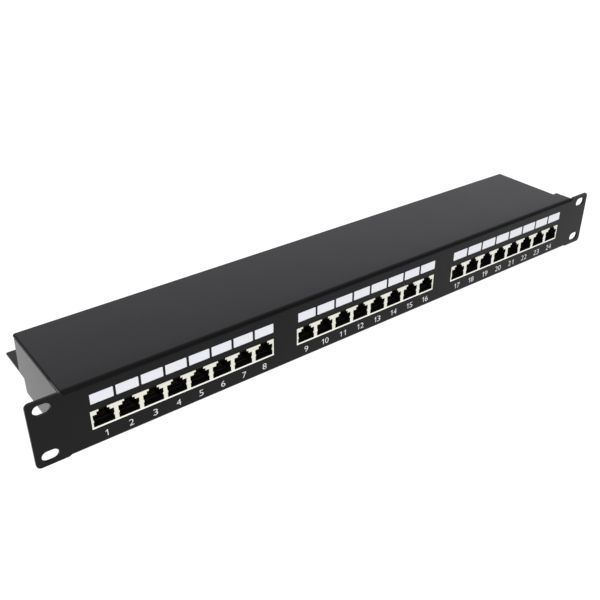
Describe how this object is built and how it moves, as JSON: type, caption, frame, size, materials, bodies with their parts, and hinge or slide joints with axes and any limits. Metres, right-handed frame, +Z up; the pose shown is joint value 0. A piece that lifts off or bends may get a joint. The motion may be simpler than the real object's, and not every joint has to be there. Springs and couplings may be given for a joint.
{
  "type": "patch panel",
  "caption": "Rack-width patch panel: folded black steel case with grouped shielded modular jacks, writing fields, slotted ears, a lid that slides off and a rear cable tray.",
  "frame": {"origin": "midway along the panel, at the height of the ears' lower edges, midway between the front face and the rear edge of the cable tray", "axes": "+X along the panel to the right as seen from the front, +Y from the front to the rear, +Z up"},
  "size_m": [0.4826, 0.103, 0.0444],
  "materials": {
    "black_paint": "satin black powder coat on steel sheet",
    "tin_plating": "bright tin plating on thin steel sheet",
    "black_plastic": "moulded, dull",
    "gold_plating": "gold plating on bronze wire",
    "solder_mask": "green solder mask on glass-epoxy board",
    "white_plastic": "moulded, dull",
    "zinc_plating": "bright zinc plating"
  },
  "bodies": {
    "chassis": {"front_panel": "black_paint", "base_tray": "black_paint", "jack_shield_1": "tin_plating", "jack_shield_2": "tin_plating", "jack_shield_3": "tin_plating", "jack_housing_1": "black_plastic", "jack_housing_2": "black_plastic", "jack_housing_3": "black_plastic", "contact_insert_01": "gold_plating", "contact_insert_02": "gold_plating", "contact_insert_03": "gold_plating", "contact_insert_04": "gold_plating", "contact_insert_05": "gold_plating", "contact_insert_06": "gold_plating", "contact_insert_07": "gold_plating", "contact_insert_08": "gold_plating", "contact_insert_09": "gold_plating", "contact_insert_10": "gold_plating", "contact_insert_11": "gold_plating", "contact_insert_12": "gold_plating", "contact_insert_13": "gold_plating", "contact_insert_14": "gold_plating", "contact_insert_15": "gold_plating", "contact_insert_16": "gold_plating", "contact_insert_17": "gold_plating", "contact_insert_18": "gold_plating", "contact_insert_19": "gold_plating", "contact_insert_20": "gold_plating", "contact_insert_21": "gold_plating", "contact_insert_22": "gold_plating", "contact_insert_23": "gold_plating", "contact_insert_24": "gold_plating", "circuit_board_1": "solder_mask", "circuit_board_2": "solder_mask", "circuit_board_3": "solder_mask", "terminal_block_01": "white_plastic", "terminal_block_02": "white_plastic", "terminal_block_03": "white_plastic", "terminal_block_04": "white_plastic", "terminal_block_05": "white_plastic", "terminal_block_06": "white_plastic", "terminal_block_07": "white_plastic", "terminal_block_08": "white_plastic", "terminal_block_09": "white_plastic", "terminal_block_10": "white_plastic", "terminal_block_11": "white_plastic", "terminal_block_12": "white_plastic", "board_screw_1": "zinc_plating", "board_screw_2": "zinc_plating", "board_screw_3": "zinc_plating", "board_screw_4": "zinc_plating", "board_screw_5": "zinc_plating", "board_screw_6": "zinc_plating", "panel_screw_left": "zinc_plating", "panel_screw_right": "zinc_plating", "earth_stud": "zinc_plating", "earth_nut": "zinc_plating"},
    "cover": {"top_cover": "black_paint", "cover_screw_left": "zinc_plating", "cover_screw_right": "zinc_plating"}
  },
  "joints": [
    {"name": "cover_slide", "type": "slide", "parent": "chassis", "child": "cover", "axis": [0, 1, 0], "range_m": [0, 0.03]}
  ]
}
